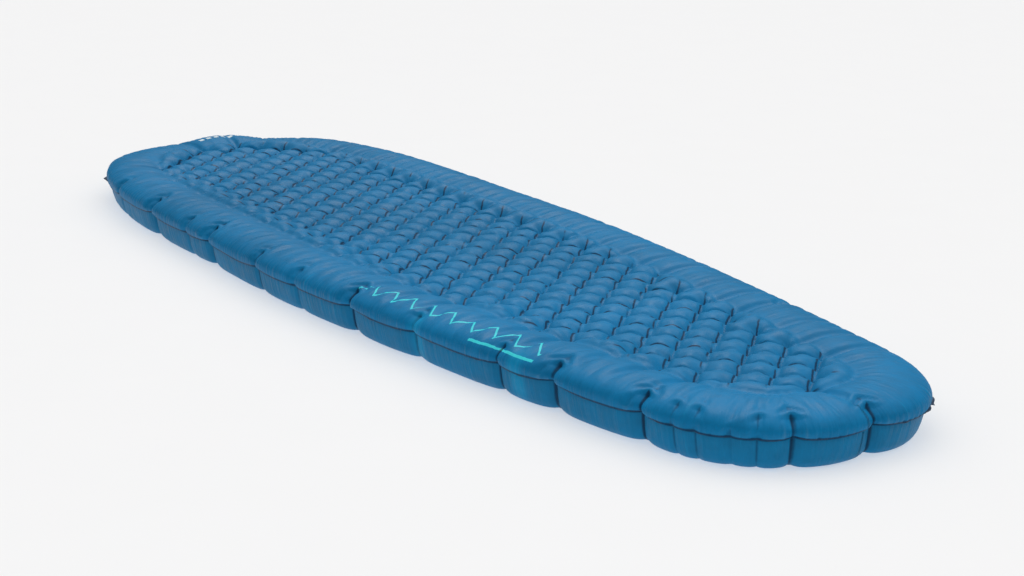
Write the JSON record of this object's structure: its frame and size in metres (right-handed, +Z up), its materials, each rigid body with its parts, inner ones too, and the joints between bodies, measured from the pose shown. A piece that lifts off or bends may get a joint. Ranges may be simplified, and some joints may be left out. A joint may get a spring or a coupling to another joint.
{
  "type": "inflatable sleeping pad",
  "caption": "Inflatable mummy-shaped sleeping pad with a quilted top, a raised perimeter tube and a twist valve in the head seam.",
  "frame": {"origin": "on the underside, below the middle of the sheets' length and width", "axes": "+X along the pad from head to foot, +Z up through its thickness"},
  "size_m": [1.8605, 0.558, 0.072],
  "materials": {
    "coated_fabric": "coated woven polyester, slight sheen",
    "coated_fabric_below": "coated woven polyester, slight sheen",
    "weld_band": "heat-welded double fabric",
    "insulation_fibre": "bonded hollow fibre",
    "baffle_film": "coated film",
    "valve_plastic": "moulded, fine texture",
    "seal_rubber": "silicone, matt",
    "pin_steel": "drawn wire"
  },
  "bodies": {
    "pad": {"top_sheet": "coated_fabric", "bottom_sheet": "coated_fabric_below", "perimeter_weld": "weld_band", "insulation_layer": "insulation_fibre", "baffle_01": "baffle_film", "baffle_02": "baffle_film", "baffle_03": "baffle_film", "baffle_04": "baffle_film", "baffle_05": "baffle_film", "baffle_06": "baffle_film", "baffle_07": "baffle_film", "baffle_08": "baffle_film", "baffle_09": "baffle_film", "baffle_10": "baffle_film", "baffle_11": "baffle_film", "baffle_12": "baffle_film", "baffle_13": "baffle_film", "valve_spout": "valve_plastic", "closure_pin": "valve_plastic", "travel_seal": "seal_rubber", "mouth_seal": "seal_rubber", "flap_pin": "pin_steel"},
    "grip": {"valve_grip": "valve_plastic"},
    "mouthpiece": {"valve_mouthpiece": "valve_plastic"},
    "flap": {"non_return_flap": "seal_rubber"}
  },
  "joints": [
    {"name": "grip_twist", "type": "hinge", "parent": "pad", "child": "grip", "pos_m": [-0.915, 0, 0.04], "axis": [-1, 0, 0], "range_deg": [0, 720]},
    {"name": "mouth_travel", "type": "slide", "parent": "grip", "child": "mouthpiece", "axis": [-1, 0, 0], "range_m": [0, 0.006]},
    {"name": "flap_swing", "type": "hinge", "parent": "pad", "child": "flap", "pos_m": [-0.9008, 0, 0.0472], "axis": [0, -1, 0], "range_deg": [0, 50]}
  ],
  "couplings": [
    {"joint": "mouth_travel", "follows": "grip_twist", "m_per_rad": 0.00047746}
  ]
}
